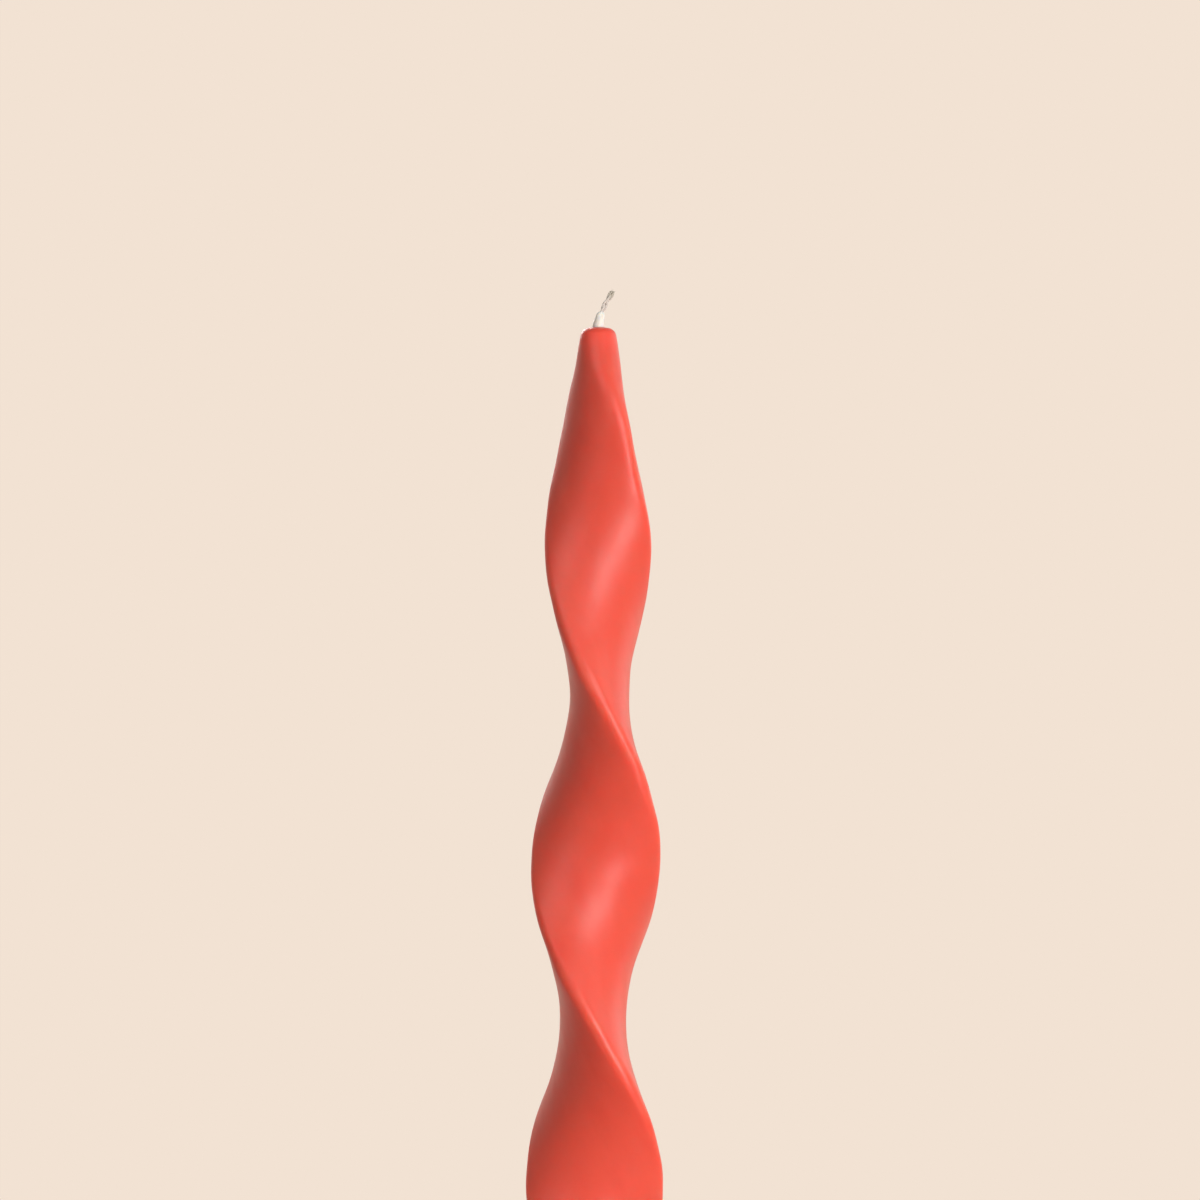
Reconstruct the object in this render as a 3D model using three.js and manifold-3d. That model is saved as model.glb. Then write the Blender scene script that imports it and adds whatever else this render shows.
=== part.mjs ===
// Spiral taper candle, in millimetres, +Z up, with its origin at the middle of the foot.
// A taper of white wax round a plaited wick is pressed flat above its round foot, twisted by hand
// into a left-handed spiral, and dipped in red wax. Seen from the front (from -Y), the near edge of
// the spiral runs down to the right. Heights along the body are given as depths below the tip,
// because the tip is what the twist is counted from.
import * as THREE from 'three';
import { mergeVertices } from 'three/addons/utils/BufferGeometryUtils.js';
import Module from 'manifold-3d';

const wasm = await Module();
wasm.setup();

// Length and foot
const waxHeight = 290;         // from the foot to the flat top of the wax
const footDiameter = 22;       // round foot that stands in a holder
const footLength = 28;         // round stretch, below where the section starts to flatten
const footBlend = 30;          // stretch above it where round turns to flat and the twist starts

// Taper, as the mean radius of the section (the root of half width times half thickness)
const bodyRadius = 11.3;       // low on the body, where the taper has died away
const slowTaper = 5.6;         // what the long taper takes off that at the tip
const slowTaperLength = 66;    // depth in which the long taper falls to about a third
const tipRadius = 3.7;         // at the tip, before its rim is rounded
const pointLength = 16;        // depth in which the short point falls to about a third
const tipRimRadius = 1.6;      // rounding of the tip's rim

// Flattened section
const flatness = 2.05;         // width over thickness
const edgeRadius = 2.7;        // rounding of the two long edges
const edgeLimit = 0.9;         // its most, as a share of the half thickness, in the thin tip
const tipBlend = 22;           // depth below the tip over which round turns to flat
const faceShift = 0.55;        // how far the middle of the section lies off the axis of the twist

// Twist
const turnLength = 148.8;      // height of one whole turn
const frontFaceDepth = 47.8;   // depth at which a flat face looks straight to the front
const twistFadeDepth = 48;     // depth above which the twist dies away towards the tip

// Walls and fits
const coatThickness = 1.2;     // red wax over the white core
const waxGap = 0.3;            // gap between two waxes, and between wax and primed wick
const primedWickRadius = 1.35; // wick with the white wax it is primed with, inside the candle

// Wick
const wickRise = 8.3;          // height of the wick's end above the wax
const wickReach = 3.3;         // how far that end leans to the right
const wickLean = 34;           // angle of the end of the wick from upright, in degrees
const wickStraight = 2.6;      // how long the wick holds its way out of the wax before it bends
const strandDiameter = 0.36;   // one of the three cotton strands
const strandGap = 0.06;        // between two strands where they cross
const strandSwing = 1.32;      // sideways swing of a strand, in strand diameters with their gap
const plaitLength = 8;         // length of one whole plait, in which each strand goes over and back
const plaitTurn = 35;          // how far the plait's flat side is turned from the front, in degrees
const primingRise = 3.9;       // height along the wick that the white priming wax climbs
const primingFilm = 0.14;      // its wall at the top of that cone
const primingGap = 0.12;       // gap between the plait and the priming wax

// Fineness of the faceted solids
const bodySides = 28;          // points round the body
const boreSides = 14;          // points round the wick's hole and the primed wick
const outerStep = 5.4;         // spacing of the rings on the outside of the coat
const innerStep = 6.8;         // spacing of the rings where the coat meets the core
const tipStep = 3.4;           // spacing of the rings in the tip, inside and outside
const rimSteps = 3;            // rings in the tip's rounded rim
const strandSides = 4;         // sides of a strand inside the candle, doubled outside it
const stepsPerPlait = 6;       // steps of a strand in one plait inside the candle
const openStepsPerPlait = 18;  // steps of a strand in one plait outside it
const cutRunOn = 2;            // how far a cutting shape runs past the face that it opens

const fullTurn = 2 * Math.PI;
const footTop = waxHeight - footLength;
const bodyBottom = footTop - footBlend;

// Rises smoothly from 0 to 1 as x goes from 0 to length.
function blend(x, length) {
  const t = THREE.MathUtils.clamp(x / length, 0, 1);
  return t * t * (3 - 2 * t);
}

// Length run by x, for something that gets up to full speed evenly over the first stretch.
function easedRun(x, stretch) {
  if (x <= 0) return 0;
  return x < stretch ? (x * x) / (2 * stretch) : x - stretch / 2;
}

// Angle of the section about +Z, in radians: none of the twist is in the tip or in the foot.
function twistAt(depth) {
  const run = easedRun(depth, twistFadeDepth) - easedRun(depth - bodyBottom, footBlend);
  return ((run - easedRun(frontFaceDepth, twistFadeDepth)) * fullTurn) / turnLength;
}

// How flat the section is at a depth, from 0 (round) to 1.
function flatAt(depth) {
  return blend(depth, tipBlend) * (1 - blend(depth - bodyBottom, footBlend));
}

// Mean radius of the section at a depth.
function radiusAt(depth) {
  const point = bodyRadius - slowTaper - tipRadius;
  const body = bodyRadius - slowTaper * Math.exp(-depth / slowTaperLength)
    - point * Math.exp(-depth / pointLength);
  return THREE.MathUtils.lerp(body, footDiameter / 2, blend(depth - bodyBottom, footBlend));
}

// Point of the flat section whose outward normal has this angle from the width axis. Two shallow
// arcs are the faces, and two small arcs are the edges.
function flatSectionPoint(angle, radius) {
  const normal = new THREE.Vector2(Math.cos(angle), Math.sin(angle));
  const halfThickness = radius / Math.sqrt(flatness);
  const edge = Math.min(edgeRadius, edgeLimit * halfThickness);
  const edgeCentre = radius * Math.sqrt(flatness) - edge;
  const faceHeight = halfThickness - edge;
  const faceRadius = (edgeCentre ** 2 + faceHeight ** 2) / (2 * faceHeight);
  const onFace = Math.abs(normal.x) * faceRadius < edgeCentre;
  const side = onFace ? Math.sign(normal.y) : Math.sign(normal.x);
  const centre = onFace
    ? new THREE.Vector2(0, side * (faceHeight - faceRadius))
    : new THREE.Vector2(side * edgeCentre, 0);
  return centre.addScaledVector(normal, onFace ? faceRadius + edge : edge);
}

// Ring of points round the body at a depth. Round and flat are mixed point by point at the same
// normal, so that a wall of even thickness is the same ring moved inwards by inset.
function bodyRing(depth, inset) {
  const radius = radiusAt(depth);
  const flat = flatAt(depth);
  const twist = twistAt(depth);
  const middle = new THREE.Vector2(0, -faceShift * flat);
  const ring = [];
  for (let i = 0; i < bodySides; i += 1) {
    const angle = (i * fullTurn) / bodySides;
    const normal = new THREE.Vector2(Math.cos(angle), Math.sin(angle));
    const point = normal.clone().multiplyScalar(radius);
    if (flat > 0) point.lerp(flatSectionPoint(angle, radius), flat);
    point.addScaledVector(normal, -inset).add(middle).rotateAround(new THREE.Vector2(), twist);
    ring.push(new THREE.Vector3(point.x, point.y, waxHeight - depth));
  }
  return ring;
}

// Depths of the rings from the tip down to the foot, close together in the tip.
function ringDepths(first, step) {
  const tipEnd = Math.max(tipBlend, first + tipStep);
  const tipCount = Math.ceil((tipEnd - first) / tipStep);
  const bodyCount = Math.ceil((footTop - tipEnd) / step);
  const depths = [];
  for (let i = 0; i < tipCount; i += 1) depths.push(first + ((tipEnd - first) * i) / tipCount);
  for (let i = 0; i <= bodyCount; i += 1) depths.push(tipEnd + ((footTop - tipEnd) * i) / bodyCount);
  depths.push(waxHeight);
  return depths;
}

// Joins rings of points, in order, into one closed body. A ring has as many points as the one before
// it, half as many or twice as many. An open row of rings gets a flat cap at each end, and a looped
// one joins its last ring to its first, which leaves a bore.
function loft(rings, looped) {
  const positions = [];
  const indices = [];
  const starts = rings.map((ring) => {
    const start = positions.length / 3;
    ring.forEach((p) => positions.push(p.x, p.y, p.z));
    return start;
  });
  const face = (a, b, c, flip) => indices.push(...(flip ? [a, c, b] : [a, b, c]));
  const join = (low, high) => {
    const flip = rings[low].length > rings[high].length;
    const [few, many] = flip ? [high, low] : [low, high];
    const count = rings[few].length;
    const ratio = rings[many].length / count;
    for (let i = 0; i < count; i += 1) {
      const a = starts[few] + i;
      const b = starts[few] + ((i + 1) % count);
      const row = Array.from({ length: ratio + 1 }, (_, k) =>
        starts[many] + ((i * ratio + k) % rings[many].length));
      face(a, b, row[1], flip);
      face(a, row[1], row[0], flip);
      if (ratio === 2) face(b, row[2], row[1], flip);
    }
  };
  for (let i = 1; i < rings.length; i += 1) join(i - 1, i);
  if (looped) {
    join(rings.length - 1, 0);
  } else {
    const last = starts.length - 1;
    for (let i = 2; i < rings[0].length; i += 1) face(starts[0], i + starts[0], i - 1 + starts[0]);
    for (let i = 2; i < rings[last].length; i += 1) {
      face(starts[last], starts[last] + i - 1, starts[last] + i);
    }
  }
  const geometry = new THREE.BufferGeometry();
  geometry.setAttribute('position', new THREE.Float32BufferAttribute(positions, 3));
  geometry.setIndex(indices);
  geometry.computeVertexNormals();
  return geometry;
}

// Closed solid as the cutting library wants it, with its shared corners merged.
function solidOf(geometry) {
  const bare = geometry.clone();
  bare.deleteAttribute('normal');
  bare.deleteAttribute('uv');
  const merged = mergeVertices(bare);
  return new wasm.Manifold(new wasm.Mesh({
    numProp: 3,
    vertProperties: merged.attributes.position.array,
    triVerts: Uint32Array.from(merged.index.array),
  }));
}

// Geometry with the shapes of the tools cut out of it.
function cut(geometry, ...tools) {
  const left = tools.reduce((solid, tool) => solid.subtract(solidOf(tool)), solidOf(geometry));
  const mesh = left.getMesh();
  const result = new THREE.BufferGeometry();
  result.setAttribute('position', new THREE.Float32BufferAttribute(mesh.vertProperties, 3));
  result.setIndex(Array.from(mesh.triVerts));
  result.computeVertexNormals();
  return result;
}

// Middle line of the wick: straight up the axis, then a bend to the right above the wax.
const wickTop = new THREE.Vector3(wickReach, 0, waxHeight + wickRise);
const leanAngle = THREE.MathUtils.degToRad(wickLean);
const wickEndDirection = new THREE.Vector3(Math.sin(leanAngle), 0, Math.cos(leanAngle));
const wickLine = new THREE.CurvePath();
wickLine.add(new THREE.LineCurve3(new THREE.Vector3(), new THREE.Vector3(0, 0, waxHeight)));
wickLine.add(new THREE.CubicBezierCurve3(
  new THREE.Vector3(0, 0, waxHeight),
  new THREE.Vector3(0, 0, waxHeight + wickStraight),
  wickTop.clone().addScaledVector(wickEndDirection, -wickRise / 3),
  wickTop,
));
const wickLength = wickLine.getLength();

// The wick's middle at a length along it, with the directions along the plait's width and thickness.
function wickFrame(length) {
  const share = THREE.MathUtils.clamp(length / wickLength, 0, 1);
  const along = wickLine.getTangent(share);
  const back = new THREE.Vector3(0, 1, 0);
  const right = back.clone().cross(along);
  const turn = THREE.MathUtils.degToRad(plaitTurn);
  const width = right.clone().multiplyScalar(Math.cos(turn)).addScaledVector(back, Math.sin(turn));
  return { middle: wickLine.getPoint(share), width, thickness: along.clone().cross(width) };
}

// Swing of a strand sideways, and through the plait at a crossing.
const strandPitch = strandDiameter + strandGap;
const swing = strandSwing * strandPitch;
const lift = strandPitch / (2 * Math.sin(fullTurn / 6));

// Middle of a strand at a length along the wick. A strand swings from side to side once while it
// rises and dips twice, and the three follow each other a third of a plait apart.
function strandPoint(length, strand) {
  const angle = fullTurn * (length / plaitLength + 1 / 12 + strand / 3);
  const { middle, width, thickness } = wickFrame(length);
  return middle.addScaledVector(width, swing * Math.sin(angle))
    .addScaledVector(thickness, lift * Math.sin(2 * angle));
}

// One cotton strand, from the foot to the end of the wick.
function strandGeometry(strand) {
  const lengths = [];
  const step = plaitLength / stepsPerPlait;
  const openStep = plaitLength / openStepsPerPlait;
  const buriedCount = Math.floor(waxHeight / step);
  const openCount = Math.ceil((wickLength - buriedCount * step) / openStep);
  for (let i = 0; i < buriedCount; i += 1) lengths.push(i * step);
  for (let i = 0; i <= openCount; i += 1) {
    lengths.push(buriedCount * step + ((wickLength - buriedCount * step) * i) / openCount);
  }
  const rings = lengths.map((length, i) => {
    const centre = strandPoint(length, strand);
    const before = strandPoint(Math.max(length - openStep, 0), strand);
    const after = strandPoint(Math.min(length + openStep, wickLength), strand);
    const along = i === 0 ? new THREE.Vector3(0, 0, 1) : after.sub(before).normalize();
    const out = wickFrame(length).thickness;
    out.addScaledVector(along, -out.dot(along)).normalize();
    const side = along.clone().cross(out);
    const sides = i < buriedCount ? strandSides : 2 * strandSides;
    return Array.from({ length: sides }, (_, k) => {
      const angle = (k / sides + 1 / (2 * strandSides)) * fullTurn;
      return centre.clone().addScaledVector(out, (strandDiameter / 2) * Math.cos(angle))
        .addScaledVector(side, (strandDiameter / 2) * Math.sin(angle));
    });
  });
  return loft(rings, false);
}

// White wax that the wick is primed with: a sleeve in the candle, and a cone above it that thins to a
// film round the plait.
function primingGeometry() {
  const halfWidth = swing + strandDiameter / 2 + primingGap;
  const halfThickness = lift + strandDiameter / 2 + primingGap;
  const ring = (length, radiusX, radiusY) => {
    const { middle, width, thickness } = wickFrame(length);
    return Array.from({ length: boreSides }, (_, i) => {
      const angle = (i * fullTurn) / boreSides;
      return middle.clone().addScaledVector(width, radiusX * Math.cos(angle))
        .addScaledVector(thickness, radiusY * Math.sin(angle));
    });
  };
  const heights = [0, waxHeight];
  const coneSteps = 5;
  for (let i = 1; i <= coneSteps; i += 1) heights.push(waxHeight + (primingRise * i) / coneSteps);
  const outside = heights.map((length) => {
    const thin = Math.sin((Math.PI / 2) * Math.max(length - waxHeight, 0) / primingRise);
    return ring(length,
      THREE.MathUtils.lerp(primedWickRadius, halfWidth + primingFilm, thin),
      THREE.MathUtils.lerp(primedWickRadius, halfThickness + primingFilm, thin));
  });
  const bore = heights.map((length) => ring(length, halfWidth, halfThickness)).reverse();
  return loft([...outside, ...bore], true);
}

// Solid twisted body, moved inwards by inset and with its tip lower by as much. Its rim is rounded
// where a rim radius is given, and it can run on below the foot to cut right through.
function bodyGeometry(inset, step, rimRadius, runOn) {
  const rings = ringDepths(inset + rimRadius, step).map((depth) => bodyRing(depth, inset)).reverse();
  for (let i = rimRadius > 0 ? rimSteps - 1 : -1; i >= 0; i -= 1) {
    const angle = (i / rimSteps) * (Math.PI / 2);
    const depth = inset + rimRadius * (1 - Math.cos(angle));
    rings.push(bodyRing(depth, inset + rimRadius * (1 - Math.sin(angle))));
  }
  if (runOn > 0) rings.unshift(rings[0].map((p) => new THREE.Vector3(p.x, p.y, p.z - runOn)));
  return loft(rings, false);
}

// Straight round tool that cuts the wick's hole, right through from end to end.
function wickHole() {
  const length = waxHeight + 2 * cutRunOn;
  const hole = new THREE.CylinderGeometry(
    primedWickRadius + waxGap, primedWickRadius + waxGap, length, boreSides);
  hole.rotateX(Math.PI / 2);
  hole.translate(0, 0, waxHeight / 2);
  return hole;
}

// Red wax: a thin coat, open at the foot where the candle is cut flat and at the wick.
function coatGeometry() {
  const outside = bodyGeometry(0, outerStep, tipRimRadius, 0);
  return cut(outside, bodyGeometry(coatThickness, innerStep, 0, cutRunOn), wickHole());
}

// White wax inside the coat, with the bore that holds the primed wick.
function coreGeometry() {
  return cut(bodyGeometry(coatThickness + waxGap, innerStep, 0, 0), wickHole());
}

const redWax = new THREE.MeshStandardMaterial({ color: 0xe65043, roughness: 0.42, metalness: 0 });
const whiteWax = new THREE.MeshStandardMaterial({ color: 0xf3eee2, roughness: 0.5, metalness: 0 });
const cotton = new THREE.MeshStandardMaterial({ color: 0xe2dccf, roughness: 0.9, metalness: 0 });

const candle = new THREE.Group();
function addPart(name, geometry, material) {
  const mesh = new THREE.Mesh(geometry, material);
  mesh.name = name;
  candle.add(mesh);
}
addPart('colour_coat', coatGeometry(), redWax);
addPart('wax_core', coreGeometry(), whiteWax);
addPart('priming_wax', primingGeometry(), whiteWax);
for (let strand = 0; strand < 3; strand += 1) {
  addPart(`wick_strand_${strand + 1}`, strandGeometry(strand), cotton);
}

export default candle;
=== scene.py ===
"""Spiral taper candle, dressed for a studio picture.

A taper of white wax round a plaited cotton wick is pressed flat above its round foot, twisted by hand
into a left-handed spiral and dipped in red wax. Lengths are in metres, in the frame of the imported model:
+Z up, the camera looks along +Y, and depths are counted downwards from the flat top of the wax.
"""
import math

import bpy
import numpy as np
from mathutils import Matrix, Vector


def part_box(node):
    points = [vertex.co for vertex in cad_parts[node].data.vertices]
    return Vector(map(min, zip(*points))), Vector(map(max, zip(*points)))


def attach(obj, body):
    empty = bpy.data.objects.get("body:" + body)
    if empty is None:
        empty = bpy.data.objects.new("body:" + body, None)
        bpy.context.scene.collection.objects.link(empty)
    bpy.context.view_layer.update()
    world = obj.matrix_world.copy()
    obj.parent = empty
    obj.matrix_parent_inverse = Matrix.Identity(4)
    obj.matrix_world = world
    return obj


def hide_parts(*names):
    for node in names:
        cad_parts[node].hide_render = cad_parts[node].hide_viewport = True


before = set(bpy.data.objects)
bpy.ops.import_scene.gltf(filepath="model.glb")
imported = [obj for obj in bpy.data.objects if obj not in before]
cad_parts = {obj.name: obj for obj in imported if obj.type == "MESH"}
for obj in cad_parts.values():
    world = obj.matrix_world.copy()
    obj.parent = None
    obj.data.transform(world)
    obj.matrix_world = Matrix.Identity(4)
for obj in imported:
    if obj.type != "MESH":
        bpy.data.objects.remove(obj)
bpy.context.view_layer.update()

MM = 0.001
FULL_TURN = 2 * math.pi

# Length and foot
WAX_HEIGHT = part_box("colour_coat")[1].z
FOOT_DIAMETER = 0.022
FOOT_LENGTH = 0.028
FOOT_BLEND = 0.030
FOOT_EDGE = 0.0005          # rounding of the edge that the candle stands on
FOOT_TOP = WAX_HEIGHT - FOOT_LENGTH         # as a depth
BODY_BOTTOM = FOOT_TOP - FOOT_BLEND         # likewise

# Taper, as the mean radius of the section
BODY_RADIUS = 0.0113
SLOW_TAPER = 0.0056         # what the long taper takes off at the tip
SLOW_TAPER_LENGTH = 0.066
TIP_RADIUS = 0.0037
POINT_LENGTH = 0.016
TIP_RIM_RADIUS = 0.0016

# Flattened section
FLATNESS = 2.05             # width over thickness
EDGE_RADIUS = 0.0027
EDGE_LIMIT = 0.9            # most that this radius is, as a share of half the thickness
TIP_BLEND = 0.022
FACE_SHIFT = 0.00055        # from the axis of the twist to the section's middle
SECTION_SOFTENING = math.radians(9)   # how far the change from face to edge is spread, as an angle
SOFTENING_COPIES = 13       # turned copies of the section that the softened one is the mean of
RIDGE_PALING_AND_HIGHLIGHT_SHARPNESS = 6         # how closely the paler wax and painted highlight keep to the two edges: more is closer

# Twist
TURN_LENGTH = 0.1488
FRONT_FACE_DEPTH = 0.0478
TWIST_FADE_DEPTH = 0.048

# Waxes
COAT_THICKNESS = 0.0012
PRIMED_WICK_RADIUS = 0.00135
CLEARANCE = 0.01 * MM       # between two waxes that touch in the real candle
BORE_RADIUS = PRIMED_WICK_RADIUS + CLEARANCE
MENISCUS_RISE = 0.00012     # how far the red wax creeps up the primed wick
MENISCUS_REACH = 0.0011     # how wide that collar is at its foot

# Wick
WICK_RISE = 0.0083
WICK_REACH = 0.0033         # how far to the right of the axis the wick ends
WICK_LEAN = math.radians(34)
WICK_STRAIGHT = 0.0026
STRAND_DIAMETER = 0.00036
STRAND_GAP = 0.00006
STRAND_PITCH = STRAND_DIAMETER + STRAND_GAP
STRAND_LIFT = STRAND_PITCH / (2 * math.sin(FULL_TURN / 6))
STRAND_SPREAD = 1.4         # how much wider than thick a strand is pressed in the plait
PLAIT_LENGTH = 0.008
PLAIT_TURN = math.radians(35)
PLAIT_START = 1 / 12        # share of a plait's length that the first strand has behind it at the foot

# Yarns that a strand is laid up from
YARNS = 5
YARN_PITCH = 0.0017         # length of one turn of the yarns in a strand
YARN_FULLNESS = 0.7         # roundness of a yarn: less is fuller
YARN_SEED = 20
YARN_UNEVENNESS = 0.25      # how much the grooves between the yarns differ, as a share
GROOVE_DEPTH = 0.17         # depth of those grooves, as a share of the strand's radius
GIRTH_UNEVENNESS = 0.03     # thicker and thinner places along a strand, as a share
GIRTH_WAVE = 1.1 * MM       # from one thicker place to the next

# Cut end of the wick
CUT_DARKENS_FROM = WICK_RISE * 0.72         # as a length along the wick above the wax
CUT_DARKENS_TO = WICK_RISE * 1.1            # likewise, and a little short of the end
STRAND_ENDS = (0.12, -0.16, 0.05)           # mm by which each strand is longer than the wick's middle
FRAY_LENGTH = 0.9 * MM      # length over which a strand loosens towards its end
FRAY_GROOVES = 0.2          # how much deeper the grooves are there, as a share of the radius
FRAY_GIRTH = 0.2            # how much thicker the strand is there, as a share
CUT_RINGS = ((0.72, 0.05), (0.3, 0.08))     # rings that round the cut: share of the girth, and rise in mm

# Wax that the wick is primed with
PRIMING_RISE = 0.0039
CONE_FILM = 0.10            # mm of wax round the strands, in the cone
CONE_FILM_LOSS = 0.08       # mm of it that are lost at the cone's top
CONE_THINNING = 0.8 * MM    # length over which they are lost
CONE_BRIDGING = 0.06 * MM   # how softly the wax fills the hollows between the strands
STRAND_PLAY = 0.008 * MM    # between strands of STRAND_DIAMETER and the inside of this wax

# Loose fibres on the wick
END_HAIRS = 26
SIDE_HAIRS = 20
SIDE_HAIRS_FROM = 4.2 * MM  # along the wick from the top of the wax, clear of the cone
END_HAIRS_DROP = 0.1 * MM   # below the wick's end
HAIR_SEED = 41
HAIR_RISE = {"end": (0.5, 1.6), "side": (0.1, 0.8)}         # least and most, as a share of the reach
HAIR_REACH = {"end": (0.25, 0.6), "side": (0.15, 0.4)}      # least and most, in mm
HAIR_SPREAD = 0.6           # share of the reach that goes outwards
HAIR_CURL = 0.7             # most that one bends sideways, as a share of the reach
HAIR_ROOT = 0.12 * MM       # from the middle of the strand
HAIR_RADIUS = 0.011 * MM
HAIR_TAPER = 0.7            # share of the radius that is lost by its tip
HAIR_RINGS = 5
HAIR_SIDES = 3

# Fineness of the meshes: points round a section, rings round a curve, and steps from ring to ring
COAT_SIDES = 144
CORE_SIDES = 96
CONE_SIDES = 64
YARN_SIDES = 6              # points round one yarn
FLOOR_SIDES = 96
EDGE_DRAW = 0.18            # how strongly the points of a section are drawn towards its two edges
TOP_RINGS = 8
RIM_RINGS = 12
FOOT_EDGE_RINGS = 6
BEND_SAMPLES = 201
TIP_STEP = 0.6 * MM
BODY_STEP = 0.9 * MM
FOOT_STEP = 1.6 * MM
CORE_STEP = 3 * MM
HIDDEN_WAX_STEP = 4 * MM
HIDDEN_STRAND_STEP = 0.5 * MM
BARE_STRAND_STEP = 0.07 * MM
BARE_STRAND_FROM = WAX_HEIGHT - MM          # a little inside the wax
CONE_STEP = 0.12 * MM
CONE_FROM = WAX_HEIGHT - 0.5 * MM           # likewise

# Photograph, as real sizes in the plane of the candle
PICTURE_SIDE = 0.276        # side of the square picture
PICTURE_CENTRE_DEPTH = 0.0626
PICTURE_CENTRE_X = 0.00065
PICTURE_MIDDLE = Vector((0, 0, WAX_HEIGHT - PICTURE_CENTRE_DEPTH))
CAMERA_DISTANCE = 2.0
CAMERA_ROLL = math.radians(0.25)
CAMERA_SENSOR = 36.0        # width in mm, as its lens is


def colour(red, green, blue):
    """Linear colour, with alpha, of an sRGB colour given in 0 to 255."""
    parts = np.array([red, green, blue]) / 255
    linear = np.where(parts <= 0.04045, parts / 12.92, ((parts + 0.055) / 1.055) ** 2.4)
    return (*linear.tolist(), 1.0)


# Form of the body

def blend(x, length):
    """Rises smoothly from 0 to 1 as x goes from 0 to length."""
    t = min(max(x / length, 0), 1)
    return t * t * (3 - 2 * t)


def eased_run(x, stretch):
    """Length run by x, for something that gets up to full speed evenly over the first stretch."""
    if x <= 0:
        return 0
    return x * x / (2 * stretch) if x < stretch else x - stretch / 2


def twist_at(depth):
    """Angle of the section about +Z: it eases off towards the tip and stops at the foot."""
    run = eased_run(depth, TWIST_FADE_DEPTH) - eased_run(depth - BODY_BOTTOM, FOOT_BLEND)
    return (run - eased_run(FRONT_FACE_DEPTH, TWIST_FADE_DEPTH)) * FULL_TURN / TURN_LENGTH


def flat_at(depth):
    """How flat the section is at a depth, from 0 (round) to 1."""
    return blend(depth, TIP_BLEND) * (1 - blend(depth - BODY_BOTTOM, FOOT_BLEND))


def radius_at(depth):
    """Mean radius of the section at a depth."""
    point = BODY_RADIUS - SLOW_TAPER - TIP_RADIUS
    body = BODY_RADIUS - SLOW_TAPER * math.exp(-depth / SLOW_TAPER_LENGTH)
    body -= point * math.exp(-depth / POINT_LENGTH)
    return body + (FOOT_DIAMETER / 2 - body) * blend(depth - BODY_BOTTOM, FOOT_BLEND)


def turned(points, angle):
    """Points in the plane, one to a row, turned about the origin."""
    c, s = math.cos(angle), math.sin(angle)
    return points @ np.array([[c, s], [-s, c]])


def directions(angles):
    return np.stack([np.cos(angles), np.sin(angles)], axis=1)


def even_angles(sides):
    return np.arange(sides) * FULL_TURN / sides


def body_angles(sides):
    """Angles of the normals round a section, drawn together towards its two edges."""
    even = even_angles(sides)
    return even - EDGE_DRAW * np.sin(2 * even)


def flat_section(angles, radius):
    """Points of the flat section whose outward normals have these angles from its width axis."""
    normals = directions(angles)
    half_thickness = radius / math.sqrt(FLATNESS)
    edge = min(EDGE_RADIUS, EDGE_LIMIT * half_thickness)
    edge_centre = radius * math.sqrt(FLATNESS) - edge
    face_height = half_thickness - edge
    face_radius = (edge_centre ** 2 + face_height ** 2) / (2 * face_height)
    on_face = (np.abs(normals[:, 0]) * face_radius < edge_centre)[:, None]
    signs = np.sign(normals)
    face_centres = signs * [0, face_height - face_radius]
    edge_centres = signs * [edge_centre, 0]
    centres = np.where(on_face, face_centres, edge_centres)
    return centres + normals * np.where(on_face, face_radius + edge, edge)


def soft_flat_section(angles, radius):
    """The flat section with faces and edges that run softly into each other: a mean of turned copies."""
    turns = np.linspace(-SECTION_SOFTENING, SECTION_SOFTENING, SOFTENING_COPIES)
    copies = [turned(flat_section(angles + turn, radius), -turn) for turn in turns]
    return np.mean(copies, axis=0)


class Swell:
    """Small hand-made unevenness of a wax surface: a sum of long waves over depth and angle."""

    def __init__(self, seed, waves, shortest, longest, height):
        draw = np.random.default_rng(seed)
        self.rates = FULL_TURN / draw.uniform(shortest, longest, waves)
        self.counts = draw.integers(-3, 4, waves)
        self.phases = draw.uniform(0, FULL_TURN, waves)
        self.height = height * math.sqrt(2 / waves)

    def at(self, depth, angles):
        waves = np.cos(self.rates * depth + self.counts * angles[:, None] + self.phases)
        return self.height * waves.sum(axis=1)


BODY_SWELL = Swell(seed=7, waves=26, shortest=0.011, longest=0.046, height=0.00007)


def body_section(depth, inset, angles, swell=1.0):
    """Section of the body at a depth before it is twisted, moved inwards by inset."""
    radius = radius_at(depth)
    flat = flat_at(depth)
    normals = directions(angles)
    points = normals * radius
    if flat > 0:
        points = points * (1 - flat) + soft_flat_section(angles, radius) * flat
    offset = swell * BODY_SWELL.at(depth, angles) - inset
    return points + normals * offset[:, None] + [0, -FACE_SHIFT * flat]


def twisted(section, depth):
    """Ring in the frame: a section of something in the candle, turned as the body is at that depth."""
    points = turned(section, twist_at(depth))
    return np.column_stack([points, np.full(len(points), WAX_HEIGHT - depth)])


# Meshes

def tube_faces(rings, sides, first=0, looped=False):
    """Faces through rings of numbered points. An open row of rings is capped at both ends."""
    faces = []
    for i in range(rings if looped else rings - 1):
        low = first + i * sides
        high = first + (i + 1) % rings * sides
        for k in range(sides):
            after = (k + 1) % sides
            faces.append((low + k, low + after, high + after, high + k))
    if not looped:
        last = first + (rings - 1) * sides
        faces.append(tuple(range(first + sides - 1, first - 1, -1)))
        faces.append(tuple(range(last, last + sides)))
    return faces


def smooth_mesh(name, points, faces):
    mesh = bpy.data.meshes.new(name)
    mesh.from_pydata(np.asarray(points).tolist(), [], faces)
    mesh.validate()
    mesh.shade_smooth()
    return mesh


def loft(name, rings, looped=False):
    """Smooth mesh through rings of points. A looped row of rings closes on itself."""
    faces = tube_faces(len(rings), len(rings[0]), looped=looped)
    return smooth_mesh(name, np.concatenate(rings), faces)


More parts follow.
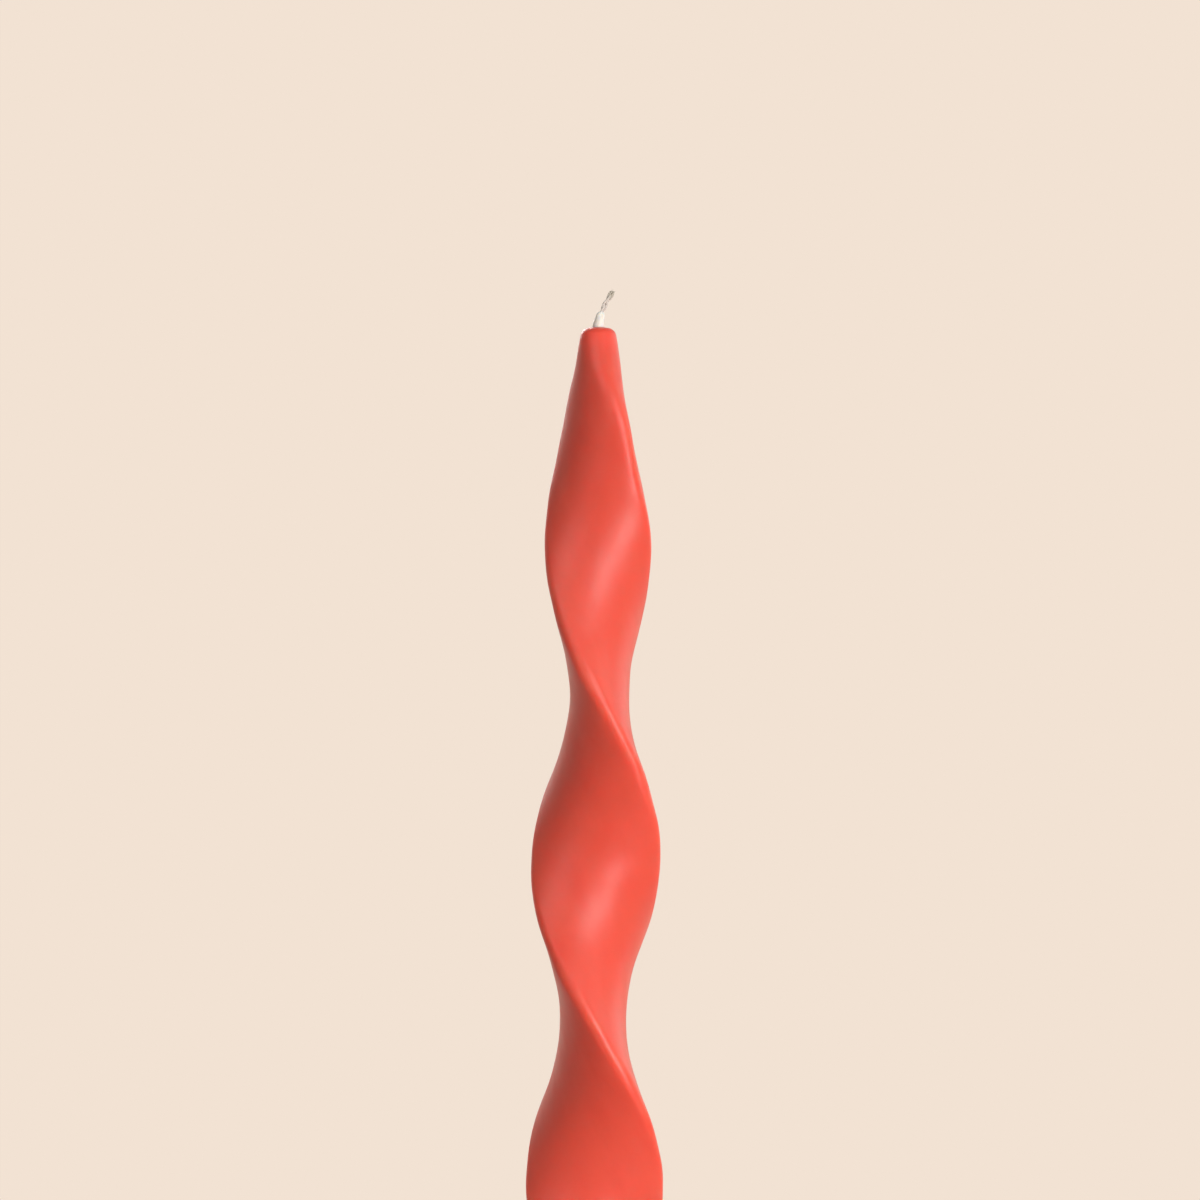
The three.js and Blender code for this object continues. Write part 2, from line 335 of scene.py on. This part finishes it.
def put_in_scene(name, data):
    made = bpy.data.objects.new(name, data)
    bpy.context.scene.collection.objects.link(made)
    return made


def piece(mesh, material, node):
    """A piece on the candle's one body, named as its mesh is, that may stand for a CAD node."""
    mesh.materials.append(material)
    made = put_in_scene(mesh.name, mesh)
    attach(made, "root")
    if node:
        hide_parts(node)
    return made


def store(mesh, name, values):
    """Keeps a value or a vector for each vertex, for the materials to read."""
    values = np.asarray(values, np.float32)
    kind = "FLOAT_VECTOR" if values.ndim == 2 else "FLOAT"
    layer = mesh.attributes.new(name, kind, "POINT")
    layer.data.foreach_set("vector" if values.ndim == 2 else "value", values.ravel())


def spaced(start, end, step):
    """Even steps from start up to, but not at, end."""
    count = max(1, math.ceil((end - start) / step))
    return np.linspace(start, end, count + 1)[:-1]


# Red coat

def outer_depths():
    """Depths of the coat's outer rings, from the end of the tip's rim down to the foot's edge."""
    return np.concatenate([
        spaced(TIP_RIM_RADIUS, TIP_BLEND, TIP_STEP),
        spaced(TIP_BLEND, FOOT_TOP, BODY_STEP),
        spaced(FOOT_TOP, WAX_HEIGHT - FOOT_EDGE, FOOT_STEP),
    ])


def coat_rings(angles):
    """Rings of the coat from the wick's collar over the rim, down the outside and back up the inside.

    With each ring goes how much of a ridge its points are on, and where they lie before the twist.
    """
    rings, ridge, untwisted = [], [], []

    def keep(section, depth, sharp=0.0, lift=0.0):
        rings.append(twisted(section, depth) + [0, 0, lift])
        ridge.append(np.full(len(angles), sharp))
        untwisted.append(np.column_stack([section, np.full(len(angles), depth)]))

    for share in np.linspace(0, 1, TOP_RINGS + 1)[:-1]:
        radius = BORE_RADIUS + (TIP_RADIUS - TIP_RIM_RADIUS - PRIMED_WICK_RADIUS) * share
        reach = min((radius - PRIMED_WICK_RADIUS) / MENISCUS_REACH, 1)
        keep(directions(angles) * radius, 0, lift=MENISCUS_RISE * (1 - reach) ** 2)
    for angle in np.linspace(0, math.pi / 2, RIM_RINGS + 1)[:-1]:
        depth = TIP_RIM_RADIUS * (1 - math.cos(angle))
        inset = TIP_RIM_RADIUS * (1 - math.sin(angle))
        keep(body_section(depth, inset, angles, swell=depth / TIP_RIM_RADIUS), depth)
    # Mask of the two edges, where the red wax is painted paler: thin coat over the white core, and a
    # painted highlight
    edges = np.abs(np.cos(angles)) ** RIDGE_PALING_AND_HIGHLIGHT_SHARPNESS
    for depth in outer_depths():
        keep(body_section(depth, 0, angles), depth, sharp=edges * flat_at(depth))
    for angle in np.linspace(0, math.pi / 2, FOOT_EDGE_RINGS + 1):
        depth = WAX_HEIGHT - FOOT_EDGE * (1 - math.sin(angle))
        inset = FOOT_EDGE * (1 - math.cos(angle))
        keep(body_section(depth, inset, angles), depth)
    for depth in -spaced(-WAX_HEIGHT, -COAT_THICKNESS, HIDDEN_WAX_STEP):
        keep(body_section(depth, COAT_THICKNESS, angles), depth)
    keep(directions(angles) * BORE_RADIUS, COAT_THICKNESS)
    return rings, ridge, untwisted


def make_coat(material):
    """Red wax over all of the candle but its underside, with a hole for the primed wick."""
    rings, ridge, untwisted = coat_rings(body_angles(COAT_SIDES))
    mesh = loft("red_coat", rings[::-1], looped=True)
    store(mesh, "ridge", np.concatenate(ridge[::-1]))
    store(mesh, "untwisted", np.concatenate(untwisted[::-1]))
    return piece(mesh, material, "colour_coat")


# White core

def make_core(material):
    """White wax inside the coat, seen where the candle is cut flat at the foot."""
    angles = body_angles(CORE_SIDES)
    inset = COAT_THICKNESS + CLEARANCE
    depths = np.append(spaced(inset, WAX_HEIGHT, CORE_STEP), WAX_HEIGHT)
    outside = [twisted(body_section(depth, inset, angles), depth) for depth in depths]
    bore = [twisted(directions(angles) * BORE_RADIUS, depth) for depth in depths[::-1]]
    cut_face = [outside[-1] * (1 - share) + bore[0] * share for share in (0.25, 0.5, 0.75)]
    rings = (outside + cut_face + bore)[::-1]
    mesh = loft("white_core", rings, looped=True)
    store(mesh, "untwisted", np.concatenate(rings))
    return piece(mesh, material, "wax_core")


# Wick

WICK_TOP = np.array([WICK_REACH, 0, WAX_HEIGHT + WICK_RISE])
WICK_END = np.array([math.sin(WICK_LEAN), 0, math.cos(WICK_LEAN)])
BEND = np.array([
    [0, 0, WAX_HEIGHT],
    [0, 0, WAX_HEIGHT + WICK_STRAIGHT],
    WICK_TOP - WICK_END * WICK_RISE / 3,
    WICK_TOP,
])


def bend_point(t):
    weights = [(1 - t) ** 3, 3 * t * (1 - t) ** 2, 3 * t * t * (1 - t), t ** 3]
    return np.array(weights) @ BEND


BEND_SHARES = np.linspace(0, 1, BEND_SAMPLES)
BEND_LINE = np.array([bend_point(t) for t in BEND_SHARES])
BEND_LENGTHS = np.append(0, np.cumsum(np.linalg.norm(np.diff(BEND_LINE, axis=0), axis=1)))
WICK_LENGTH = WAX_HEIGHT + BEND_LENGTHS[-1]


def wick_middle(length):
    """Middle of the wick at a length along it: up the axis, then through the bend, then straight on."""
    if length <= WAX_HEIGHT:
        return np.array([0, 0, length])
    if length > WICK_LENGTH:
        return WICK_TOP + WICK_END * (length - WICK_LENGTH)
    return bend_point(np.interp(length - WAX_HEIGHT, BEND_LENGTHS, BEND_SHARES))


def wick_frame(length):
    """The wick's middle at a length, with the directions along the plait's width and thickness."""
    step = 0.05 * MM
    along = wick_middle(length + step) - wick_middle(length - step)
    along /= np.linalg.norm(along)
    back = np.array([0, 1, 0])
    right = np.cross(back, along)
    width = right * math.cos(PLAIT_TURN) + back * math.sin(PLAIT_TURN)
    return wick_middle(length), width, np.cross(along, width)


def wick_lengths(fine_from, end, coarse_step, fine_step):
    """Lengths along the wick for a piece's rings: far apart in the candle, and close together above it."""
    return np.concatenate([spaced(0, fine_from, coarse_step), spaced(fine_from, end, fine_step), [end]])


def strand_place(length, strand):
    """Where a strand lies in the plait's section: along its width and through its thickness.

    It goes across and back once in a plait's length, and passes over and under the others twice.
    """
    angle = FULL_TURN * (length / PLAIT_LENGTH + PLAIT_START + strand / 3)
    return np.array([STRAND_PITCH * math.sin(angle), STRAND_LIFT * math.sin(2 * angle)])


def strand_point(length, strand):
    middle, width, thickness = wick_frame(length)
    place = strand_place(length, strand)
    return middle + width * place[0] + thickness * place[1]


def strand_frame(length, strand):
    """Directions along a strand, out of the plait's face, and across both. At the foot it is cut flat."""
    step = 0.1 * MM
    ahead = strand_point(length + step, strand) - strand_point(max(length - step, 0), strand)
    ahead /= np.linalg.norm(ahead)
    if length == 0:
        ahead = np.array([0, 0, 1.0])
    out = wick_frame(length)[2]
    out = out - ahead * (out @ ahead)
    out /= np.linalg.norm(out)
    return ahead, out, np.cross(ahead, out)


def make_strand(strand, material):
    """One strand of the plait, laid up from yarns that show as lobes and loosen at the cut end."""
    sides = YARN_SIDES * YARNS
    angles = even_angles(sides)
    end = WICK_LENGTH + STRAND_ENDS[strand] * MM
    lengths = wick_lengths(BARE_STRAND_FROM, end, HIDDEN_STRAND_STEP, BARE_STRAND_STEP)
    draw = np.random.default_rng(YARN_SEED + strand)
    groove_shares = 1 + YARN_UNEVENNESS * draw.uniform(-1, 1, YARNS)
    groove_shares = groove_shares[np.arange(sides) * YARNS // sides]
    lobes = np.abs(np.sin(angles * YARNS / 2)) ** YARN_FULLNESS
    rings, along = [], []
    for length in lengths:
        ahead, out, side = strand_frame(length, strand)
        fray = blend(length - (end - FRAY_LENGTH), FRAY_LENGTH)
        grooves = (GROOVE_DEPTH + FRAY_GROOVES * fray) * groove_shares
        uneven = 1 + GIRTH_UNEVENNESS * math.sin(length * FULL_TURN / GIRTH_WAVE + strand)
        radii = STRAND_PITCH / 2 * uneven * (1 + FRAY_GIRTH * fray) * (1 - grooves * (1 - lobes))
        turn = angles + length * FULL_TURN / YARN_PITCH
        ring = strand_point(length, strand) + np.outer(radii * np.cos(turn), out)
        rings.append(ring + np.outer(STRAND_SPREAD * radii * np.sin(turn), side))
        along.append(np.full(sides, length))
    cut = rings[-1]
    tip = cut.mean(axis=0)
    for share, rise in CUT_RINGS:
        rings.append(tip + (cut - tip) * share + ahead * rise * MM)
        along.append(np.full(sides, end))
    mesh = loft(f"plait_strand_{strand + 1}", rings)
    store(mesh, "along", np.concatenate(along) - WAX_HEIGHT)
    return piece(mesh, material, f"wick_strand_{strand + 1}")


def plait_outline(length, angles, film):
    """Outline of the three strands together with a film of wax round them, in the plait's section."""
    places = np.array([strand_place(length, strand) for strand in range(3)])
    ways = directions(angles)
    weights = np.exp(ways @ places.T / CONE_BRIDGING)
    weights /= weights.sum(axis=1, keepdims=True)
    return weights @ places + ways * (STRAND_DIAMETER / 2 + film)


def wick_ring(length, places):
    """Ring in the frame, from places in the wick's section at a length."""
    middle, width, thickness = wick_frame(length)
    return middle + np.outer(places[:, 0], width) + np.outer(places[:, 1], thickness)


def make_priming(material):
    """White wax that the wick is primed with: a sleeve in the candle and a lumpy cone above it."""
    angles = even_angles(CONE_SIDES)
    sleeve = directions(angles) * PRIMED_WICK_RADIUS
    lumps = Swell(seed=3, waves=6, shortest=1.2 * MM, longest=4 * MM, height=0.035 * MM)
    top = WAX_HEIGHT + PRIMING_RISE
    outside, inside = [], []
    for length in wick_lengths(CONE_FROM, top, HIDDEN_WAX_STEP, CONE_STEP):
        drawn_in = (max(length - WAX_HEIGHT, 0) / PRIMING_RISE) ** 2
        lost = CONE_FILM_LOSS * blend(length - top + CONE_THINNING, CONE_THINNING)
        waxed_plait = plait_outline(length, angles, (CONE_FILM - lost) * MM)
        midway = 4 * drawn_in * (1 - drawn_in)      # 0 at both ends of the cone and 1 between
        uneven = lumps.at(length, angles) * midway
        section = sleeve * (1 - drawn_in) + waxed_plait * drawn_in + directions(angles) * uneven[:, None]
        outside.append(wick_ring(length, section))
        inside.append(wick_ring(length, plait_outline(length, angles, STRAND_PLAY)))
    rings = outside + inside[::-1]
    mesh = loft("primed_cone", rings, looped=True)
    store(mesh, "untwisted", np.concatenate(rings))
    return piece(mesh, material, "priming_wax")


def make_fuzz(material):
    """Loose cotton fibres along the bare wick and at its cut end, as one mesh of thin bent hairs."""
    draw = np.random.default_rng(HAIR_SEED)
    points, faces, along = [], [], []
    for hair in range(END_HAIRS + SIDE_HAIRS):
        kind = "end" if hair < END_HAIRS else "side"
        length = WICK_LENGTH - END_HAIRS_DROP
        if kind == "side":
            length = draw.uniform(WAX_HEIGHT + SIDE_HAIRS_FROM, WICK_LENGTH)
        root = strand_point(length, int(draw.integers(3)))
        _, width, thickness = wick_frame(length)
        way = draw.uniform(0, FULL_TURN)
        out = width * math.cos(way) + thickness * math.sin(way)
        rise = WICK_END * draw.uniform(*HAIR_RISE[kind])
        reach = draw.uniform(*HAIR_REACH[kind]) * MM
        curl = np.cross(out, WICK_END) * draw.uniform(-HAIR_CURL, HAIR_CURL)
        faces += tube_faces(HAIR_RINGS, HAIR_SIDES, first=len(points))
        for share in np.linspace(0, 1, HAIR_RINGS):
            middle = root + out * (HAIR_ROOT + reach * share * HAIR_SPREAD) + rise * reach * share
            middle = middle + curl * reach * share * share
            thick = HAIR_RADIUS * (1 - HAIR_TAPER * share)
            for turn in even_angles(HAIR_SIDES):
                points.append(middle + thick * (math.cos(turn) * thickness + math.sin(turn) * width))
                along.append(length - WAX_HEIGHT)
    mesh = smooth_mesh("wick_fuzz", points, faces)
    store(mesh, "along", along)
    return piece(mesh, material, None)


# Materials

class Nodes:
    """Short way to put nodes into a tree and join them."""

    def __init__(self, tree):
        self.tree = tree

    def add(self, kind, inputs=None, **settings):
        node = self.tree.nodes.new(kind)
        for name, value in settings.items():
            setattr(node, name, value)
        self.fill(node, inputs or {})
        return node

    def fill(self, node, values):
        """Gives inputs of a node, by name or number, a fixed value or the output of another node."""
        for name, value in values.items():
            if isinstance(value, bpy.types.NodeSocket):
                self.tree.links.new(value, node.inputs[name])
            else:
                node.inputs[name].default_value = value

    def math(self, operation, first, second):
        return self.add("ShaderNodeMath", {0: first, 1: second}, operation=operation).outputs[0]

    def mix(self, share, first, second):
        node = self.add("ShaderNodeMix", {"Factor": share, "A": first, "B": second}, data_type="RGBA")
        return node.outputs["Result"]

    def ramp(self, value, low, high, out_low=0.0, out_high=1.0):
        """Rises smoothly from out_low to out_high as the value goes from low to high."""
        node = self.add("ShaderNodeMapRange", {
            "Value": value, "From Min": low, "From Max": high, "To Min": out_low, "To Max": out_high,
        }, interpolation_type="SMOOTHSTEP")
        return node.outputs["Result"]

    def noise(self, vector, scale, detail=2.0, roughness=0.5):
        node = self.add("ShaderNodeTexNoise", {
            "Vector": vector, "Scale": scale, "Detail": detail, "Roughness": roughness,
        })
        return node.outputs["Fac"]

    def stretched(self, vector, stretch):
        """The vector with its third part shortened, so that a pattern on it is drawn out that way."""
        node = self.add("ShaderNodeVectorMath", {0: vector, 1: (1, 1, 1 / stretch)}, operation="MULTIPLY")
        return node.outputs[0]


def emptied(owner):
    """The Nodes of a material or a world, with nothing in its tree yet."""
    owner.use_nodes = True
    owner.node_tree.nodes.clear()
    return Nodes(owner.node_tree)


def group(name, inputs, outputs):
    """New node group with named sockets: its Nodes, what it is given, and its output node."""
    tree = bpy.data.node_groups.new(name, "ShaderNodeTree")
    for label, (kind, value) in inputs.items():
        socket = tree.interface.new_socket(label, in_out="INPUT", socket_type=kind)
        if value is not None:
            socket.default_value = value
    for label, kind in outputs.items():
        tree.interface.new_socket(label, in_out="OUTPUT", socket_type=kind)
    nodes = Nodes(tree)
    return nodes, nodes.add("NodeGroupInput").outputs, nodes.add("NodeGroupOutput")


def clouding_group():
    """Dye or light caught unevenly in the depth of the wax: soft clouds of a deeper and a paler colour."""
    nodes, given, result = group("wax_clouding", {
        "Place": ("NodeSocketVector", None),
        "Colour": ("NodeSocketColor", (1, 1, 1, 1)),
        "Deep Colour": ("NodeSocketColor", (0.5, 0.5, 0.5, 1)),
        "Pale Colour": ("NodeSocketColor", (1, 1, 1, 1)),
        "Cloud Size": ("NodeSocketFloat", 0.01),
        "Amount": ("NodeSocketFloat", 0.5),
    }, {"Colour": "NodeSocketColor"})
    place = nodes.stretched(given["Place"], stretch=2.2)
    scale = nodes.math("DIVIDE", 1.0, given["Cloud Size"])
    clouds = nodes.noise(place, scale, detail=3.0, roughness=0.55)
    deep = nodes.math("MULTIPLY", nodes.ramp(clouds, low=0.5, high=0.25), given["Amount"])
    pale = nodes.math("MULTIPLY", nodes.ramp(clouds, low=0.5, high=0.75), given["Amount"])
    darker = nodes.mix(deep, given["Colour"], given["Deep Colour"])
    nodes.fill(result, {"Colour": nodes.mix(pale, darker, given["Pale Colour"])})
    return nodes.tree


def skin_group():
    """Skin of cast or dipped wax: satin with duller breaths, fine peel, runs down the body, a few pits."""
    nodes, given, result = group("wax_skin", {
        "Place": ("NodeSocketVector", None),
        "Roughness": ("NodeSocketFloat", 0.4),
        "Roughness Spread": ("NodeSocketFloat", 0.08),
        "Peel Height": ("NodeSocketFloat", 0.00001),
        "Run Height": ("NodeSocketFloat", 0.00003),
        "Pit Depth": ("NodeSocketFloat", 0.00003),
    }, {"Roughness": "NodeSocketFloat", "Height": "NodeSocketFloat"})
    place = given["Place"]
    breaths = nodes.noise(nodes.stretched(place, stretch=1.6), scale=160.0, detail=4.0, roughness=0.6)
    breaths = nodes.ramp(breaths, low=0.3, high=0.7, out_low=-1.0, out_high=1.0)
    spread = nodes.math("MULTIPLY", breaths, given["Roughness Spread"])
    peel = nodes.noise(place, scale=1500.0, detail=3.0, roughness=0.6)
    runs = nodes.noise(nodes.stretched(place, stretch=9.0), scale=420.0)
    from_pit = nodes.add("ShaderNodeTexVoronoi", {"Vector": place, "Scale": 330.0}).outputs["Distance"]
    height = nodes.math("MULTIPLY", peel, given["Peel Height"])
    height = nodes.math("ADD", height, nodes.math("MULTIPLY", runs, given["Run Height"]))
    pits = nodes.math("MULTIPLY", nodes.ramp(from_pit, low=0.12, high=0.04), given["Pit Depth"])
    nodes.fill(result, {
        "Roughness": nodes.math("ADD", given["Roughness"], spread),
        "Height": nodes.math("SUBTRACT", height, pits),
    })
    return nodes.tree


def new_material(name):
    """Material with an empty tree, as its Nodes and its Principled shader."""
    material = bpy.data.materials.new(name)
    nodes = emptied(material)
    shader = nodes.add("ShaderNodeBsdfPrincipled")
    nodes.add("ShaderNodeOutputMaterial", {"Surface": shader.outputs["BSDF"]})
    return material, nodes, shader


def wax_material(name, effects, colours, skin, shader_values, thin_coat_and_highlight_colour=None, thin_coat_and_highlight_share=0.0):
    """Satin wax from the shared clouding and skin, with ridges painted paler, partly for the thin coat
    there and partly as a painted highlight.
    """
    clouding, wax_skin = effects
    material, nodes, shader = new_material(name)
    place = nodes.add("ShaderNodeAttribute", attribute_name="untwisted").outputs["Vector"]
    clouds = nodes.add("ShaderNodeGroup", node_tree=clouding)
    nodes.fill(clouds, {"Place": place, **colours})
    surface = nodes.add("ShaderNodeGroup", node_tree=wax_skin)
    nodes.fill(surface, {"Place": place, **skin})
    base = clouds.outputs["Colour"]
    # Ridges painted paler: partly the thin coat over the white core, partly a painted highlight along them
    if thin_coat_and_highlight_colour:
        ridge = nodes.add("ShaderNodeAttribute", attribute_name="ridge").outputs["Fac"]
        uneven = nodes.ramp(nodes.noise(place, scale=260.0, detail=3.0), low=0.25, high=0.7)
        paler = nodes.math("MULTIPLY", nodes.math("MULTIPLY", ridge, uneven), thin_coat_and_highlight_share)
        base = nodes.mix(paler, base, thin_coat_and_highlight_colour)
    bump = nodes.add("ShaderNodeBump", {"Height": surface.outputs["Height"], "Distance": 1.0})
    nodes.fill(shader, {
        "Base Color": base,
        "Roughness": surface.outputs["Roughness"],
        "Normal": bump.outputs["Normal"],
        **shader_values,
    })
    return material


def red_wax(effects):
    return wax_material(
        "red_wax", effects,
        colours={
            "Colour": colour(238, 77, 60),
            "Deep Colour": colour(228, 67, 51),
            "Pale Colour": colour(244, 86, 68),
            "Cloud Size": 0.009,
            "Amount": 0.5,
        },
        skin={
            "Roughness": 0.38,
            "Roughness Spread": 0.05,
            "Peel Height": 0.000004,
            "Run Height": 0.000014,
            "Pit Depth": 0.000012,
        },
        shader_values={
            "Subsurface Weight": 0.8,
            "Subsurface Radius": (1.0, 0.075, 0.05),
            "Subsurface Scale": 0.006,
            "IOR": 1.35,
        },
        # Paler colour of the ridges: thin coat over the white core, and a painted highlight
        thin_coat_and_highlight_colour=colour(243, 100, 76),
        thin_coat_and_highlight_share=0.4,
    )


def white_wax(effects):
    return wax_material(
        "white_wax", effects,
        colours={
            "Colour": colour(224, 220, 211),
            "Deep Colour": colour(214, 208, 196),
            "Pale Colour": colour(232, 229, 223),
            "Cloud Size": 0.004,
            "Amount": 0.6,
        },
        skin={
            "Roughness": 0.46,
            "Roughness Spread": 0.08,
            "Peel Height": 0.00001,
            "Run Height": 0.00002,
            "Pit Depth": 0.00002,
        },
        shader_values={
            "Subsurface Weight": 0.8,
            "Subsurface Radius": (1.0, 0.8, 0.6),
            "Subsurface Scale": 0.0008,
            "IOR": 1.43,
        },
    )


def cotton():
    """Plaited cotton, greyed by the wax it is soaked with and darker towards its cut end."""
    material, nodes, shader = new_material("cotton")
    place = nodes.add("ShaderNodeTexCoord").outputs["Object"]
    along = nodes.add("ShaderNodeAttribute", attribute_name="along").outputs["Fac"]
    fibres = nodes.noise(nodes.stretched(place, stretch=6.0), scale=14000.0, detail=3.0, roughness=0.65)
    blotches = nodes.noise(place, scale=1600.0)
    clean = nodes.mix(
        nodes.ramp(fibres, low=0.3, high=0.7),
        colour(195, 184, 175),
        colour(219, 208, 199),
    )
    soaked = nodes.mix(
        nodes.ramp(blotches, low=0.35, high=0.7, out_high=0.5),
        clean,
        colour(182, 171, 162),
    )
    darkened = nodes.mix(
        nodes.ramp(along, low=CUT_DARKENS_FROM, high=CUT_DARKENS_TO, out_high=0.75),
        soaked,
        colour(163, 156, 137),
    )
    bump = nodes.add("ShaderNodeBump", {"Height": fibres, "Distance": 0.00003})
    nodes.fill(shader, {
        "Base Color": darkened,
        "Roughness": nodes.ramp(blotches, low=0.3, high=0.7, out_low=0.62, out_high=0.9),
        "Normal": bump.outputs["Normal"],
        "Subsurface Weight": 0.2,
        "Subsurface Radius": (1.0, 0.9, 0.8),
        "Subsurface Scale": 0.0003,
    })
    return material


# Studio

BACKGROUND = colour(242, 226, 211)
AMBIENT = 0.10              # strength of the pale surroundings as a light
FLOOR_GLOW = 0.5            # share of the floor's look that does not depend on the lamps
FLOOR_RADIUS = 1.2
FLOOR_FADE = (0.08, 0.42)   # shares of its radius between which the floor fades into the surroundings

# Degrees round from the camera and up, then distance, width and height in metres, and power in watts
LAMPS = {
    "key_light": (37, 9, 1.0, 0.26, 0.24, 1.8),
    "broad_light": (34, 9, 1.0, 0.76, 0.46, 4.55),
    "low_light": (41, -10, 0.50, 0.24, 0.11, 1.12),
    "fill_light": (-28, 28, 1.0, 0.80, 0.60, 3.2),
    "side_light": (92, 30, 1.0, 0.50, 0.50, 1.4),
    "rim_light": (130, 12, 1.0, 0.60, 0.60, 1.2),
    "back_light": (200, 24, 1.1, 0.60, 0.50, 6.0),
}


def looked_at(nodes):
    """1 for what the camera sees, also in gloss or through something clear, and 0 for light on things."""
    path = nodes.add("ShaderNodeLightPath").outputs
    seen = nodes.math("MAXIMUM", path["Is Camera Ray"], path["Is Glossy Ray"])
    return nodes.math("MAXIMUM", seen, path["Is Transmission Ray"])


def make_world():
    """Pale surroundings that show as they are, and light the candle more weakly."""
    world = bpy.data.worlds.new("pale_studio")
    bpy.context.scene.world = world
    nodes = emptied(world)
    strength = nodes.ramp(looked_at(nodes), low=0.0, high=1.0, out_low=AMBIENT)
    light = nodes.add("ShaderNodeBackground", {"Color": BACKGROUND, "Strength": strength})
    nodes.add("ShaderNodeOutputWorld", {"Surface": light.outputs[0]})


def paper_material():
    """Pale paper that glows a little, and grows clear away from the candle."""
    material = bpy.data.materials.new("pale_paper")
    nodes = emptied(material)
    place = nodes.add("ShaderNodeTexCoord").outputs["Object"]
    away = nodes.add("ShaderNodeVectorMath", {0: place}, operation="LENGTH").outputs["Value"]
    paper = nodes.add("ShaderNodeBsdfDiffuse", {"Color": BACKGROUND})
    glow = nodes.add("ShaderNodeEmission", {"Color": BACKGROUND, "Strength": 1.0})
    clear = nodes.add("ShaderNodeBsdfTransparent")
    glowing = nodes.math("MULTIPLY", looked_at(nodes), FLOOR_GLOW)
    pale = nodes.add("ShaderNodeMixShader", {0: glowing, 1: paper.outputs[0], 2: glow.outputs[0]})
    fading = nodes.ramp(away, *[share * FLOOR_RADIUS for share in FLOOR_FADE])
    faded = nodes.add("ShaderNodeMixShader", {0: fading, 1: pale.outputs[0], 2: clear.outputs[0]})
    nodes.add("ShaderNodeOutputMaterial", {"Surface": faded.outputs[0]})
    return material


def make_floor():
    """Round pale floor under the candle."""
    rim = directions(even_angles(FLOOR_SIDES)) * FLOOR_RADIUS
    points = np.column_stack([rim, np.zeros(FLOOR_SIDES)])
    mesh = smooth_mesh("floor", points, [tuple(range(FLOOR_SIDES))])
    mesh.materials.append(paper_material())
    put_in_scene("floor", mesh)


def soft_light(name, azimuth, elevation, distance, width, height, power):
    """Rectangular soft box that faces the middle of the picture: azimuth 90 is to the camera's right."""
    data = bpy.data.lights.new(name, "AREA")
    data.shape = "RECTANGLE"
    data.size = width
    data.size_y = height
    data.energy = power
    lamp = put_in_scene(name, data)
    lamp.visible_camera = False
    a, e = math.radians(azimuth), math.radians(elevation)
    way = Vector((math.sin(a) * math.cos(e), -math.cos(a) * math.cos(e), math.sin(e)))
    lamp.location = PICTURE_MIDDLE + way * distance
    lamp.rotation_euler = (lamp.location - PICTURE_MIDDLE).to_track_quat("Z", "Y").to_euler()


def make_camera():
    """Telephoto view at the height of the picture's middle, square on to the candle."""
    data = bpy.data.cameras.new("camera")
    data.sensor_width = CAMERA_SENSOR
    data.lens = CAMERA_SENSOR * CAMERA_DISTANCE / PICTURE_SIDE
    camera = put_in_scene("camera", data)
    camera.location = (PICTURE_CENTRE_X, -CAMERA_DISTANCE, PICTURE_MIDDLE.z)
    camera.rotation_euler = (math.pi / 2, -CAMERA_ROLL, 0)
    bpy.context.scene.camera = camera


make_camera()
wax_effects = (clouding_group(), skin_group())
undyed_wax = white_wax(wax_effects)
make_coat(red_wax(wax_effects))
make_core(undyed_wax)
make_priming(undyed_wax)
cotton_yarn = cotton()
for strand_number in range(3):
    make_strand(strand_number, cotton_yarn)
make_fuzz(cotton_yarn)
make_world()
make_floor()
for lamp_name, lamp_setting in LAMPS.items():
    soft_light(lamp_name, *lamp_setting)
bpy.context.scene.view_settings.view_transform = "Standard"
